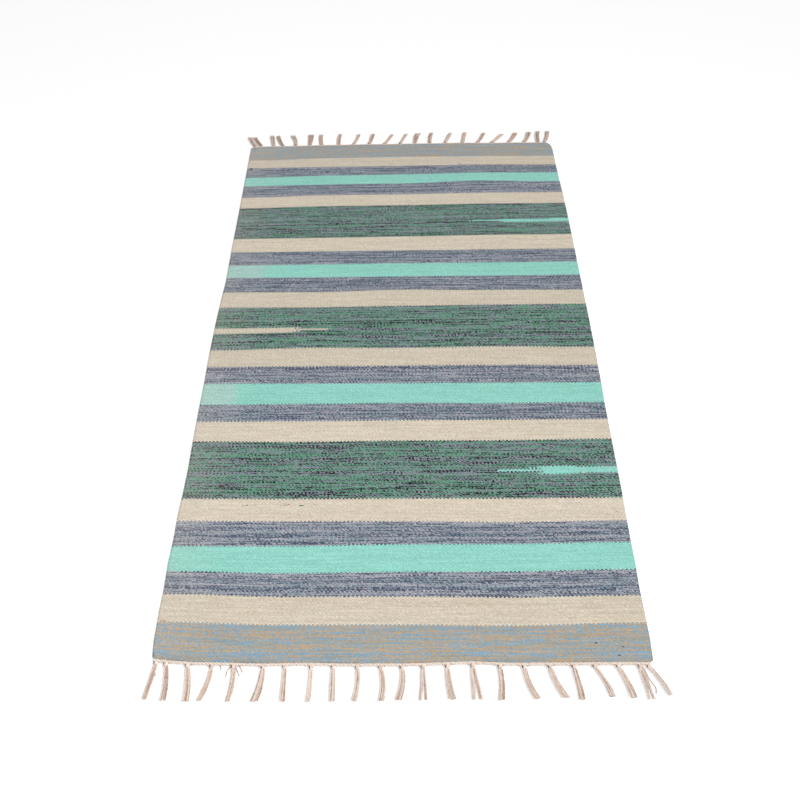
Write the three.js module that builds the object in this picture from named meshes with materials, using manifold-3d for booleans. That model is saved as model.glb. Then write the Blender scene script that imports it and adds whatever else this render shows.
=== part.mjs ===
import * as THREE from "three";
import { mergeVertices } from "three/addons/utils/BufferGeometryUtils.js";
import Module from "manifold-3d";

// A flat-woven striped cotton kilim rug, laid out flat: one cloth, and at each end a fringe of warp
// ends, which run a little way along the cloth's edge and are tied in a knot for each tassel.
// Sizes are millimetres. The origin is the middle of the cloth's underside, +X is to the right,
// +Y to the far end and +Z up. Everything rests on z = 0.

// Cloth
const CLOTH_WIDTH = 900;
const CLOTH_LENGTH = 1500;
const CLOTH_THICKNESS = 3;
const EDGE_ROUNDING = 0.8;
const SMALL_CORNER = { alongX: 5, alongY: 6 };
const WORN_CORNER = { alongX: 14, alongY: 40 };
const CORNER_STEPS = 5;

// How far each side lies outside its straight line, for every place along the length.
const SIDE_WANDER = [
  { y: -703, left: 0.2, right: 0.4 },
  { y: -660, left: -0.5, right: -0.7 },
  { y: -613, left: -1.1, right: -1.8 },
  { y: -565, left: 0.8, right: -0.4 },
  { y: -515, left: -0.5, right: -0.8 },
  { y: -460, left: 0.6, right: -0.3 },
  { y: -410, left: -1.1, right: 0.5 },
  { y: -350, left: -1.6, right: 0.4 },
  { y: -290, left: -0.1, right: 0.4 },
  { y: -200, left: 1.0, right: 0.4 },
  { y: -130, left: 0.7, right: 1.7 },
  { y: -60, left: 2.2, right: 2.3 },
  { y: 50, left: 2.1, right: 2.3 },
  { y: 130, left: 0.2, right: 1.7 },
  { y: 190, left: -2.5, right: 1.2 },
  { y: 240, left: -2.0, right: 0.8 },
  { y: 330, left: -0.9, right: 0.1 },
  { y: 430, left: -0.7, right: -0.8 },
  { y: 500, left: -0.3, right: -2.0 },
  { y: 570, left: 0.2, right: -4.5 },
  { y: 640, left: 0.7, right: -6.6 },
  { y: 700, left: 1.0, right: -7.6 },
];

// The same for the two ends, for every place across the width.
const END_WANDER = [
  { x: -440, near: -8.0, far: -3.0 },
  { x: -410, near: -7.0, far: -2.4 },
  { x: -268, near: -4.0, far: 0.0 },
  { x: -150, near: -1.4, far: 1.0 },
  { x: -30, near: 0.0, far: 1.0 },
  { x: 60, near: 0.0, far: 1.2 },
  { x: 165, near: -0.6, far: 1.8 },
  { x: 283, near: 0.0, far: -1.0 },
  { x: 389, near: 0.0, far: -1.4 },
  { x: 440, near: -0.8, far: -0.6 },
];

// Heading: the warp ends laid along the edge, which are fewest midway between two knots.
const HEADING_GAP = 0.3;
const HEADING_HEIGHT = 3;
const HEADING_WIDTH_AT_KNOT = 5.6;
const HEADING_WIDTH_BETWEEN = 3.4;
const HEADING_TOP_NARROWING = 0.7;
const HEADING_REACH = { near: [-441, 441], far: [-444, 429] };

// Knots and locks
const KNOT = { width: 9.6, length: 8.4, height: 5.4, unevenness: 0.08 };
const KNOT_OUT = 7.4;
const KNOT_MIDDLE = 0.45;
const KNOT_SIDES = 6;
const KNOT_RINGS = 4;
const LOCK_STEPS = 3;
const LOCK_WIDTH = { root: 1.4, middle: 2.0, tip: 1.9 };
const LOCK_HEIGHT = { root: 2.4, middle: 2.9, tip: 2.1 };
const LOCK_TOP_NARROWING = 0.6;
const LOCK_ROOT_SPACING = 1.9;
const LEAST_LOCK_SPACING = 2.9;
const TIP_UNEVENNESS = 1.6;
// Steps in radians that keep one knot or lock from being like the next.
const KNOT_CHANGE = 2.4;
const TIP_CHANGE = { tassel: 1.7, lock: 2.3 };
const FRINGE_REACH = { near: 66, far: 56 };

// A row for each tassel, from left to right: where it is tied, how far its tip leans to the right,
// how far it bows to the right halfway, how wide its tip is, the gap it parts by, and its locks.
const NEAR_TASSELS = [
  { x: -435, lean: -9, bow: 0, spread: 12, parting: 0, locks: 4 },
  { x: -417, lean: 5, bow: 3, spread: 12, parting: 3, locks: 4 },
  { x: -379, lean: 7, bow: 2, spread: 15, parting: 0, locks: 5 },
  { x: -337, lean: -13, bow: 4, spread: 11, parting: 0, locks: 4 },
  { x: -296, lean: -5, bow: 3, spread: 8, parting: 0, locks: 3 },
  { x: -246, lean: -8, bow: 4, spread: 14, parting: 0, locks: 5 },
  { x: -204, lean: 3, bow: 0, spread: 10, parting: 0, locks: 4 },
  { x: -158, lean: -1, bow: 1, spread: 10, parting: 0, locks: 3 },
  { x: -118, lean: 4, bow: 0, spread: 10, parting: 0, locks: 4 },
  { x: -74, lean: -5, bow: 3, spread: 9, parting: 0, locks: 3 },
  { x: -34, lean: 3, bow: 4, spread: 11, parting: 0, locks: 4 },
  { x: 2, lean: -4, bow: 4, spread: 13, parting: 0, locks: 4 },
  { x: 43, lean: 0, bow: 1, spread: 13, parting: 4, locks: 4 },
  { x: 84, lean: 8, bow: 1, spread: 11, parting: 0, locks: 4 },
  { x: 129, lean: 8, bow: 0, spread: 17, parting: 5, locks: 5 },
  { x: 178, lean: -2, bow: 0, spread: 11, parting: 0, locks: 4 },
  { x: 221, lean: 19, bow: -4, spread: 9, parting: 0, locks: 3 },
  { x: 267, lean: 20, bow: -3, spread: 14, parting: 0, locks: 5 },
  { x: 306, lean: 8, bow: 2, spread: 11, parting: 0, locks: 4 },
  { x: 345, lean: 24, bow: 3, spread: 12, parting: 0, locks: 4 },
  { x: 384, lean: 20, bow: 3, spread: 14, parting: 0, locks: 5 },
  { x: 419, lean: 13, bow: 0, spread: 12, parting: 4, locks: 4 },
  { x: 437, lean: 29, bow: 4, spread: 11, parting: 0, locks: 4 },
];
const FAR_TASSELS = [
  { x: -439, lean: -24, bow: -2, spread: 10, parting: 0, locks: 4 },
  { x: -420, lean: -28, bow: -3, spread: 14, parting: 0, locks: 4 },
  { x: -384, lean: -11, bow: 0, spread: 11, parting: 0, locks: 4 },
  { x: -357, lean: -19, bow: -2, spread: 10, parting: 0, locks: 3 },
  { x: -318, lean: -14, bow: 3, spread: 11, parting: 3, locks: 4 },
  { x: -275, lean: -1, bow: 0, spread: 15, parting: 0, locks: 5 },
  { x: -240, lean: -5, bow: -2, spread: 10, parting: 0, locks: 4 },
  { x: -189, lean: 1, bow: -2, spread: 9, parting: 0, locks: 3 },
  { x: -145, lean: 14, bow: 2, spread: 9, parting: 0, locks: 4 },
  { x: -98, lean: 10, bow: 0, spread: 10, parting: 0, locks: 4 },
  { x: -53, lean: 22, bow: 2, spread: 9, parting: 0, locks: 3 },
  { x: -6, lean: 19, bow: 0, spread: 9, parting: 0, locks: 4 },
  { x: 39, lean: 9, bow: -2, spread: 15, parting: 3, locks: 5 },
  { x: 83, lean: 6, bow: -2, spread: 9, parting: 0, locks: 3 },
  { x: 128, lean: 18, bow: 0, spread: 10, parting: 0, locks: 4 },
  { x: 180, lean: 9, bow: 0, spread: 9, parting: 0, locks: 3 },
  { x: 224, lean: 21, bow: 2, spread: 10, parting: 0, locks: 4 },
  { x: 267, lean: 32, bow: 0, spread: 11, parting: 0, locks: 4 },
  { x: 316, lean: 24, bow: 2, spread: 11, parting: 0, locks: 4 },
  { x: 362, lean: 18, bow: 3, spread: 13, parting: 0, locks: 4 },
  { x: 405, lean: 3, bow: -2, spread: 12, parting: 0, locks: 4 },
  { x: 424, lean: 13, bow: 2, spread: 10, parting: 0, locks: 4 },
];

const WEFT_COLOUR = 0x8fa39c;
const WARP_COLOUR = 0xdccbbd;

const wasm = await Module();
wasm.setup();

// The value of one column at a place between the rows of a table, on straight lines.
function between(table, key, column, at) {
  const last = table.length - 1;
  const next = Math.max(1, table.findIndex((row, i) => i === last || row[key] >= at));
  const a = table[next - 1];
  const b = table[next];
  const share = THREE.MathUtils.clamp((at - a[key]) / (b[key] - a[key]), 0, 1);
  return THREE.MathUtils.lerp(a[column], b[column], share);
}

function edgeAt(end, x) {
  return CLOTH_LENGTH / 2 + between(END_WANDER, "x", end, x);
}

function solidFrom(geometry) {
  const bare = geometry.clone();
  bare.deleteAttribute("normal");
  bare.deleteAttribute("uv");
  const merged = mergeVertices(bare, 1e-4);
  return new wasm.Manifold(
    new wasm.Mesh({
      numProp: 3,
      vertProperties: new Float32Array(merged.getAttribute("position").array),
      triVerts: new Uint32Array(merged.getIndex().array),
    }),
  );
}

function geometryFrom(solid) {
  const mesh = solid.getMesh();
  const geometry = new THREE.BufferGeometry();
  geometry.setAttribute("position", new THREE.BufferAttribute(mesh.vertProperties, 3));
  geometry.setIndex(new THREE.BufferAttribute(mesh.triVerts, 1));
  geometry.computeVertexNormals();
  return geometry;
}

// The cloth in plan: near end, right side, worn far corner, far end, left side.
function clothOutline() {
  const side = CLOTH_WIDTH / 2;
  const first = SIDE_WANDER[0];
  const last = SIDE_WANDER[SIDE_WANDER.length - 1];
  const shape = new THREE.Shape();
  const corner = (x, y, size, start) => {
    shape.absellipse(x, y, size.alongX, size.alongY, start, start + Math.PI / 2, false);
  };
  const inX = SMALL_CORNER.alongX;
  const inY = SMALL_CORNER.alongY;
  const nearLeft = -edgeAt("near", -side);
  const nearRight = -edgeAt("near", side);
  corner(-side - first.left + inX, nearLeft + inY, SMALL_CORNER, Math.PI);
  for (const row of END_WANDER) shape.lineTo(row.x, -edgeAt("near", row.x));
  corner(side + first.right - inX, nearRight + inY, SMALL_CORNER, -Math.PI / 2);
  for (const row of SIDE_WANDER) shape.lineTo(side + row.right, row.y);
  corner(
    side + last.right - WORN_CORNER.alongX,
    edgeAt("far", side) - WORN_CORNER.alongY,
    WORN_CORNER,
    0,
  );
  for (const row of END_WANDER.slice(0, -1).reverse()) shape.lineTo(row.x, edgeAt("far", row.x));
  corner(-side - last.left + inX, edgeAt("far", -side) - inY, SMALL_CORNER, Math.PI / 2);
  for (const row of [...SIDE_WANDER].reverse()) shape.lineTo(-side - row.left, row.y);
  return shape;
}

// The weft turns round the outermost warps, so the edge of the cloth is round and not cut square.
function clothGeometry() {
  const geometry = new THREE.ExtrudeGeometry(clothOutline(), {
    depth: CLOTH_THICKNESS - 2 * EDGE_ROUNDING,
    curveSegments: CORNER_STEPS,
    bevelEnabled: true,
    bevelThickness: EDGE_ROUNDING,
    bevelSize: EDGE_ROUNDING,
    bevelOffset: -EDGE_ROUNDING,
    bevelSegments: 1,
  });
  geometry.translate(0, 0, EDGE_ROUNDING);
  return geometry;
}

// A box in steps along X whose points are moved by place(along, across, up), with along from 0 to 1,
// across -1 or 1 and up 0 or 1.
function shapedBox(steps, place) {
  const geometry = new THREE.BoxGeometry(1, 1, 1, steps, 1, 1);
  const position = geometry.getAttribute("position");
  for (let i = 0; i < position.count; i++) {
    const along = position.getX(i) + 0.5;
    const across = position.getY(i) * 2;
    const up = position.getZ(i) + 0.5;
    position.setXYZ(i, ...place(along, across, up));
  }
  return geometry;
}

// The strip of warp ends laid along the edge, a hair off the cloth, wider at each knot.
function headingGeometry(end, out, tassels) {
  const [from, to] = HEADING_REACH[end];
  const stations = [{ x: from, width: HEADING_WIDTH_BETWEEN }];
  tassels.forEach((tassel, i) => {
    if (i > 0) {
      const middle = (tassels[i - 1].x + tassel.x) / 2;
      stations.push({ x: middle, width: HEADING_WIDTH_BETWEEN });
    }
    stations.push({ x: tassel.x, width: HEADING_WIDTH_AT_KNOT });
  });
  stations.push({ x: to, width: HEADING_WIDTH_BETWEEN });
  const steps = stations.length - 1;
  return shapedBox(steps, (along, across, up) => {
    const { x, width } = stations[Math.round(along * steps)];
    const inset = up * HEADING_TOP_NARROWING;
    const inner = out * (edgeAt(end, x) + HEADING_GAP + inset);
    const outer = out * (edgeAt(end, x) + HEADING_GAP + width - inset);
    const y = across < 0 ? Math.min(inner, outer) : Math.max(inner, outer);
    return [x, y, up * HEADING_HEIGHT];
  });
}

// A tied knot: a small uneven bead that is flat where it lies on the floor.
function knotGeometry(end, out, tassel, index) {
  const geometry = new THREE.SphereGeometry(0.5, KNOT_SIDES, KNOT_RINGS);
  const position = geometry.getAttribute("position");
  const size = 1 + KNOT.unevenness * Math.sin(KNOT_CHANGE * index);
  const y = out * (edgeAt(end, tassel.x) + KNOT_OUT);
  const height = KNOT.height * size;
  const toTop = 1 - KNOT_MIDDLE;
  for (let i = 0; i < position.count; i++) {
    position.setXYZ(
      i,
      tassel.x + position.getX(i) * KNOT.width * size,
      y + position.getY(i) * KNOT.length,
      Math.max(0, (KNOT_MIDDLE + position.getZ(i) * 2 * toTop) * height),
    );
  }
  return geometry;
}

function fromRootToTip(sizes, t) {
  const half = t < 0.5 ? t * 2 : t * 2 - 1;
  return t < 0.5
    ? THREE.MathUtils.lerp(sizes.root, sizes.middle, half)
    : THREE.MathUtils.lerp(sizes.middle, sizes.tip, half);
}

// One lock: it starts inside the knot and lies level on the floor, fanned out from its neighbours.
function lockGeometry(end, out, tassel, index, lock) {
  const place = lock - (tassel.locks - 1) / 2;
  const spacing = Math.max(LEAST_LOCK_SPACING, (tassel.spread - tassel.parting) / tassel.locks);
  const edge = edgeAt(end, tassel.x);
  const length = FRINGE_REACH[end] - KNOT_OUT;
  const change = Math.sin(TIP_CHANGE.tassel * index + TIP_CHANGE.lock * lock);
  const trimmed = 1 - (TIP_UNEVENNESS * (1 + change)) / length;
  return shapedBox(LOCK_STEPS, (along, across, up) => {
    const down = along * trimmed;
    const apart = THREE.MathUtils.lerp(LOCK_ROOT_SPACING, spacing, down);
    const parted = Math.sign(place) * down * (tassel.parting / 2);
    const bowed = tassel.bow * 4 * down * (1 - down);
    const middle = tassel.x + tassel.lean * down + bowed + place * apart + parted;
    const narrowed = 1 - (1 - LOCK_TOP_NARROWING) * up;
    const x = middle - out * across * (fromRootToTip(LOCK_WIDTH, along) / 2) * narrowed;
    const y = out * (edge + KNOT_OUT + length * down);
    return [x, y, up * fromRootToTip(LOCK_HEIGHT, along)];
  });
}

function fringeGeometry(end, out, tassels) {
  let fringe = solidFrom(headingGeometry(end, out, tassels));
  tassels.forEach((tassel, index) => {
    fringe = fringe.add(solidFrom(knotGeometry(end, out, tassel, index)));
    for (let lock = 0; lock < tassel.locks; lock++) {
      fringe = fringe.add(solidFrom(lockGeometry(end, out, tassel, index, lock)));
    }
  });
  return geometryFrom(fringe);
}

function cottonMesh(name, geometry, colour) {
  const material = new THREE.MeshStandardMaterial({ color: colour, roughness: 0.95, metalness: 0 });
  const mesh = new THREE.Mesh(geometry, material);
  mesh.name = name;
  return mesh;
}

const group = new THREE.Group();
group.add(cottonMesh("rug_cloth", clothGeometry(), WEFT_COLOUR));
group.add(cottonMesh("near_fringe", fringeGeometry("near", -1, NEAR_TASSELS), WARP_COLOUR));
group.add(cottonMesh("far_fringe", fringeGeometry("far", 1, FAR_TASSELS), WARP_COLOUR));

export default group;
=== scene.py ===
import math

import bpy
import numpy as np
from mathutils import Matrix, Vector


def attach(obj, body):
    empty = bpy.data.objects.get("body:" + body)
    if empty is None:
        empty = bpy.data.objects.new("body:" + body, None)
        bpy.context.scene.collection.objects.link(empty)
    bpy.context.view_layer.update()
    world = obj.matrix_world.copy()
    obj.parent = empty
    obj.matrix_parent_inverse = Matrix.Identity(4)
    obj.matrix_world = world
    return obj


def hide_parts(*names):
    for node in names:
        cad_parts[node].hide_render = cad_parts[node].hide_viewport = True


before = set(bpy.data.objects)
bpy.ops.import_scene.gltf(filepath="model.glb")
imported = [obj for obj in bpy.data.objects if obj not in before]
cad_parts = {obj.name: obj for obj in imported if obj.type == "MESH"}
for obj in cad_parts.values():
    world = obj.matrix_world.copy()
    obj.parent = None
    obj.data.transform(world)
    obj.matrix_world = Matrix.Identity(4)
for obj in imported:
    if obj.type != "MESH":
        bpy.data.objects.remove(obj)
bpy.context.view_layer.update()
scene = bpy.context.scene

# Studio: a pale seamless floor in a bright room. A wide soft light stands high on the right, so that
# the tassels throw short soft shadows to the left, and a second one behind the camera lights the
# near end more than the far end. The camera looks steeply down over the near end.
FLOOR_SIZE = 14.0
FLOOR_DROP = 0.0002
FLOOR_COLOUR = "#fdfdfe"
ROOM_LIGHT = 0.43
SIDE_LIGHT = {"place": (3.0, 0.9, 2.9), "strength": 2.3, "softness": 24.0}
FRONT_LIGHT = {"place": (0.0, -1.9, 2.0), "target": (0.0, -0.7, 0.0), "size": 1.4, "power": 27.0}
CAMERA_PLACE = (0.02915575, -1.10527946, 1.31363556)
CAMERA_DOWN = 54.800
CAMERA_TO_LEFT = 1.959
CAMERA_ROLL = -2.068
CAMERA_LENS = 32.312
CAMERA_SENSOR = 36.0


def linear(colour):
    """The linear red, green, blue and alpha of an sRGB hex colour."""
    parts = [int(colour[i:i + 2], 16) / 255 for i in (1, 3, 5)]
    return [c / 12.92 if c <= 0.04045 else ((c + 0.055) / 1.055) ** 2.4 for c in parts] + [1.0]


def add_node(tree, kind, inputs=(), stops=(), **settings):
    """Adds a node: its properties, its ramp's stops, and its inputs in order or by name.

    An input may be a value, a socket, or a node, which stands for its first output.
    """
    node = tree.nodes.new(kind)
    for name, value in settings.items():
        setattr(node, name, value)
    if stops:
        ramp = node.color_ramp
        while len(ramp.elements) < len(stops):
            ramp.elements.new(1.0)
        for element, (position, colour) in zip(ramp.elements, stops):
            element.position = position
            element.color = colour
    for socket, value in inputs.items() if isinstance(inputs, dict) else enumerate(inputs):
        if isinstance(value, bpy.types.Node):
            value = value.outputs[0]
        if isinstance(value, bpy.types.NodeSocket):
            tree.links.new(value, node.inputs[socket])
        else:
            node.inputs[socket].default_value = value
    return node


def new_material(name):
    """A material with an empty node tree."""
    material = bpy.data.materials.new(name)
    material.use_nodes = True
    material.node_tree.nodes.clear()
    return material


def new_piece(name, mesh, material=None):
    """A mesh as an object at the origin, in the scene."""
    piece = bpy.data.objects.new(name, mesh)
    scene.collection.objects.link(piece)
    if material:
        mesh.materials.append(material)
    return piece


def new_light(name, kind, place, target, **settings):
    """A light that stands at a place and shines at a target."""
    data = bpy.data.lights.new(name, kind)
    for setting, value in settings.items():
        setattr(data, setting, value)
    light = bpy.data.objects.new(name, data)
    light.location = place
    light.rotation_euler = (Vector(place) - Vector(target)).to_track_quat("Z", "Y").to_euler()
    scene.collection.objects.link(light)


half_floor = FLOOR_SIZE / 2
floor_mesh = bpy.data.meshes.new("studio_floor")
floor_mesh.from_pydata(
    [(x * half_floor, y * half_floor, -FLOOR_DROP) for x, y in ((-1, -1), (1, -1), (1, 1), (-1, 1))],
    [],
    [(0, 1, 2, 3)],
)
# Matt backdrop paper: almost white and without shine, so it only shows the rug's soft shadows.
matt_paper = new_material("matt_backdrop_paper")
paper = add_node(matt_paper.node_tree, "ShaderNodeBsdfPrincipled", {
    "Base Color": linear(FLOOR_COLOUR),
    "Roughness": 0.9,
    "Specular IOR Level": 0.2,
})
add_node(matt_paper.node_tree, "ShaderNodeOutputMaterial", {"Surface": paper})
studio_floor = new_piece("studio_floor", floor_mesh, matt_paper)

room = bpy.data.worlds.new("pale_room")
room.use_nodes = True
room.node_tree.nodes["Background"].inputs["Color"].default_value = (1.0, 1.0, 1.0, 1.0)
room.node_tree.nodes["Background"].inputs["Strength"].default_value = ROOM_LIGHT
scene.world = room
scene.view_settings.view_transform = "Standard"

new_light(
    "side_light", "SUN", SIDE_LIGHT["place"], (0.0, 0.0, 0.0),
    energy=SIDE_LIGHT["strength"], angle=math.radians(SIDE_LIGHT["softness"]),
)
new_light(
    "front_light", "AREA", FRONT_LIGHT["place"], FRONT_LIGHT["target"],
    energy=FRONT_LIGHT["power"], size=FRONT_LIGHT["size"],
)

camera_data = bpy.data.cameras.new("camera")
camera_data.lens = CAMERA_LENS
camera_data.sensor_width = CAMERA_SENSOR
camera = bpy.data.objects.new("camera", camera_data)
camera.matrix_world = (
    Matrix.Translation(CAMERA_PLACE)
    @ Matrix.Rotation(math.radians(CAMERA_TO_LEFT), 4, "Z")
    @ Matrix.Rotation(math.radians(90 - CAMERA_DOWN), 4, "X")
    @ Matrix.Rotation(math.radians(CAMERA_ROLL), 4, "Z")
)
scene.collection.objects.link(camera)
scene.camera = camera

# Woven cloth: one weft-faced plain weave. A thick weft of several cotton strands is beaten down
# over 228 warps until it hides them, so each warp shows as a rib and each pass as a row of beads.
# The weaver changed the weft colour for the stripes and laid three short inserts in at the sides.
MM = 0.001
# Lengths are in millimetres, and places on the loom are from the middle of the cloth.
CLOTH_WIDTH = 900
CLOTH_LENGTH = 1500
CLOTH_THICKNESS = 3
WARPS = 228
PASSES = 652
WARP_PITCH = CLOTH_WIDTH / WARPS
PASS = CLOTH_LENGTH / PASSES
RIB_RELIEF = 0.25
END_ROUNDING = 1.2
ROW_SPACING = 18
# How far each side lies outside its straight line: place along the length, left side, right side.
SIDE_WANDER = np.array((
    (-745, -5.0, -2.0), (-712, -1.8, -0.3), (-660, -0.5, -0.7), (-613, -1.1, -1.8), (-565, 0.8, -0.4),
    (-515, -0.5, -0.8),
    (-460, 0.6, -0.3), (-410, -1.1, 0.5), (-350, -1.6, 0.4), (-290, -0.1, 0.4), (-200, 1.0, 0.4),
    (-130, 0.7, 1.7), (-60, 2.2, 2.3), (50, 2.1, 2.3), (130, 0.2, 1.7), (190, -2.5, 1.2),
    (240, -2.0, 0.8), (330, -0.9, 0.1), (430, -0.7, -0.8), (500, -0.3, -2.0), (570, 0.2, -4.5),
    (640, 0.7, -6.6), (700, 1.0, -7.6),
))
# The same for the ends: place across the width, near end, far end.
END_WANDER = np.array((
    (-440, -5.7, -3.0), (-410, -2.7, -2.4), (-364, 0.3, -1.6), (-250, 2.3, 0.1), (-150, 1.8, 1.0),
    (-70, 3.0, 1.0), (0, 2.8, 1.1), (60, 1.1, 1.2), (129, -0.6, 1.6), (165, 0.5, 1.8),
    (214, 1.9, 0.6), (283, 1.5, -1.0), (340, 0.8, -1.2), (389, 1.1, -1.4), (440, 1.1, -0.6),
))
SMALL_CORNER = (5, 6)
WORN_CORNER = (14, 40)
CORNER_REACH = 70
# Stripes from the near end: weft, the line where it starts, and how far that line wanders toward
# the far end at each of five places across.
WAVE_PLACES = (-430, -215, 0, 215, 430)
STRIPES = (
    ("border", -750, (0, 0, 0, 0, 0)),
    ("cream_dull", -684, (6, 0, 0, -2, 3)),
    ("navy", -632, (6, 0, 0, -2, 1)),
    ("mint", -583, (3, -2, 0, 0, 4)),
    ("navy", -527.5, (-1, -2, 1, 1, 4)),
    ("cream", -477.5, (3, 1, 0, -3, 0)),
    ("green", -426, (2, 0, 0, -1, 0)),
    ("cream", -289.5, (2, -1, 1, 0, 2)),
    ("navy", -236.5, (0, 0, 0, 0, 0)),
    ("mint", -190, (0, 0, 1, -2, -1)),
    ("navy", -134, (3, 1, 0, -1, -2)),
    ("cream_dull", -84.5, (1, 1, 0, 0, -3)),
    ("green", -30, (-3, 3, 0, 2, -2)),
    ("cream_dull", 101.5, (0, -2, 0, 1, 1)),
    ("navy", 152.5, (1, -1, 4, 0, -2)),
    ("mint", 203, (1, 0, 0, -1, -1)),
    ("navy", 249.5, (-1, 0, 1, 0, 0)),
    ("cream", 299, (0, 0, 0, 0, 0)),
    ("green", 350.5, (-2, -1, 0, 2, 2)),
    ("cream", 477, (-5, 0, 0, 2, 1)),
    ("navy", 522.5, (-6, 0, 0, 2, 1)),
    ("mint", 572.5, (-4, -1, -1, 7, 0)),
    ("navy", 610.5, (-6, -1, 0, 3, 0)),
    ("cream_dull", 651, (-2, 0, 0, 1, -2.5)),
    ("border", 690, (-5, 1, 3, 1, -2)),
)
STRIPE_LINES = np.array([start for _, start, _ in STRIPES] + [CLOTH_LENGTH / 2])
SIDE = CLOTH_WIDTH / 2
END = CLOTH_LENGTH / 2


def smooth(share):
    """A share from 0 to 1 with a soft start and end."""
    share = np.clip(share, 0, 1)
    return share * share * (3 - 2 * share)


def line_wander(line, across):
    """How far one line between stripes wanders toward the far end, at places across the width."""
    if line == 0:
        return -np.interp(across, END_WANDER[:, 0], END_WANDER[:, 1])
    if line == len(STRIPES):
        return np.interp(across, END_WANDER[:, 0], END_WANDER[:, 2])
    places = np.array(WAVE_PLACES, float)
    waves = np.array(STRIPES[line][2], float)
    cell = np.clip(np.searchsorted(places, across) - 1, 0, len(places) - 2)
    share = smooth((across - places[cell]) / (places[cell + 1] - places[cell]))
    return waves[cell] * (1 - share) + waves[cell + 1] * share


def on_floor(across, along):
    """Where points of the loom lie on the floor, in millimetres, as two arrays."""
    across = np.asarray(across, float)
    along = np.asarray(along, float)
    below = np.clip(np.searchsorted(STRIPE_LINES, along) - 1, 0, len(STRIPES) - 1)
    share = (along - STRIPE_LINES[below]) / (STRIPE_LINES[below + 1] - STRIPE_LINES[below])
    wander = np.array([line_wander(line, across) for line in range(len(STRIPE_LINES))])
    index = np.arange(len(across))
    y = along + wander[below, index] * (1 - share) + wander[below + 1, index] * share
    column = np.where(across < 0, 1, 2)
    outward = np.where(
        column == 1,
        np.interp(y, SIDE_WANDER[:, 0], SIDE_WANDER[:, 1]),
        np.interp(y, SIDE_WANDER[:, 0], SIDE_WANDER[:, 2]),
    )
    worn = (across > 0) & (along > 0)
    cut_x = np.where(worn, WORN_CORNER[0], SMALL_CORNER[0])
    cut_y = np.where(worn, WORN_CORNER[1], SMALL_CORNER[1])
    into_corner = np.clip((cut_y - (END - np.abs(along))) / cut_y, 0, 1)
    cut = cut_x * (1 - np.sqrt(1 - into_corner ** 2))
    near_side = smooth((np.abs(across) - (SIDE - CORNER_REACH)) / CORNER_REACH)
    x = across + np.sign(across) * (outward * (np.abs(across) / SIDE) ** 3 - cut * near_side)
    return x, y


def set_attribute(mesh, name, kind, values):
    """Stores one value for each vertex of a mesh."""
    attribute = mesh.attributes.new(name, kind, "POINT")
    field = "vector" if kind == "FLOAT_VECTOR" else "value"
    attribute.data.foreach_set(field, np.asarray(values, np.float32).ravel())


def woven_mesh():
    """The cloth as two ribbed faces that share their outermost points, so that it is one closed body."""
    across = np.linspace(-SIDE, SIDE, 2 * WARPS + 1)
    along = [-END, -END + END_ROUNDING]
    for start, stop in zip(STRIPE_LINES[:-1], STRIPE_LINES[1:]):
        steps = math.ceil((stop - start) / ROW_SPACING)
        along += [start + (stop - start) * step / steps for step in range(1, steps + 1)]
    along[-1] = END - END_ROUNDING
    along.append(END)
    columns = len(across)
    rows = len(along)
    u, v = np.meshgrid(across, along)
    x, y = on_floor(u.ravel(), v.ravel())
    valley = np.tile(np.arange(columns) % 2 == 0, rows).astype(float) * RIB_RELIEF
    rim = np.zeros((rows, columns), bool)
    rim[[0, -1], :] = True
    rim[:, [0, -1]] = True
    rim = rim.ravel()
    middle = CLOTH_THICKNESS / 2
    top = np.stack([x, y, np.where(rim, middle, CLOTH_THICKNESS - valley)], 1)
    under = np.stack([x, y, valley], 1)[~rim]
    number = np.arange(rows * columns)
    under_number = number.copy()
    under_number[~rim] = rows * columns + np.arange(np.count_nonzero(~rim))
    corner = number.reshape(rows, columns)[:-1, :-1].ravel()
    quad = np.stack([corner, corner + 1, corner + columns + 1, corner + columns], 1)
    faces = np.concatenate([quad, under_number[quad[:, ::-1]]])
    mesh = bpy.data.meshes.new("woven_cloth")
    mesh.from_pydata(np.concatenate([top, under]) * MM, [], faces.tolist())
    mesh.polygons.foreach_set("use_smooth", np.ones(len(faces), bool))
    side = np.zeros(len(top) + len(under))
    side[len(top):] = 1
    loom_u = np.concatenate([u.ravel(), u.ravel()[~rim]])
    loom_v = np.concatenate([v.ravel(), v.ravel()[~rim]])
    set_attribute(mesh, "loom", "FLOAT_VECTOR", np.stack([loom_u, loom_v, side], 1))
    return mesh


MATH = "ShaderNodeMath"
# The sockets of a Mix node for colours: its factor, its two colours, and its result.
FACTOR, FIRST, SECOND, RESULT = 0, 6, 7, 2
# Cotton weft, three loose strands to a pass. Each strand has its own dye, and they roll over each
# other slowly, so that one strand lies on top for a few centimetres. A pass shows one strand above
# another, and the beads it shares a line with show the same one. That gives the dashes and flecks
# of the navy, green and border stripes, and a faint streak in the plain ones.
WEFTS = {
    "cream": ("#cdc1af", "#d4cab8", "#c5b9a6"),
    "cream_dull": ("#c8bcaa", "#cec5b4", "#c0b4a1"),
    "mint": ("#8acabc", "#92cec2", "#83c3b6"),
    "pale_mint": ("#9bc5bc", "#a1c9c1", "#96c0b7"),
    "navy": ("#475063", "#a09fa7", "#778790"),
    "green": ("#588d73", "#241727", "#818590"),
    "border": ("#b09a7f", "#7a9eb6", "#949791"),
}
STRAND_SHARES = {
    "cream": (0.42, 0.72),
    "cream_dull": (0.42, 0.72),
    "mint": (0.42, 0.72),
    "pale_mint": (0.42, 0.72),
    "navy": (0.36, 0.70),
    "green": (0.40, 0.70),
    "border": (0.38, 0.70),
}
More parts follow.
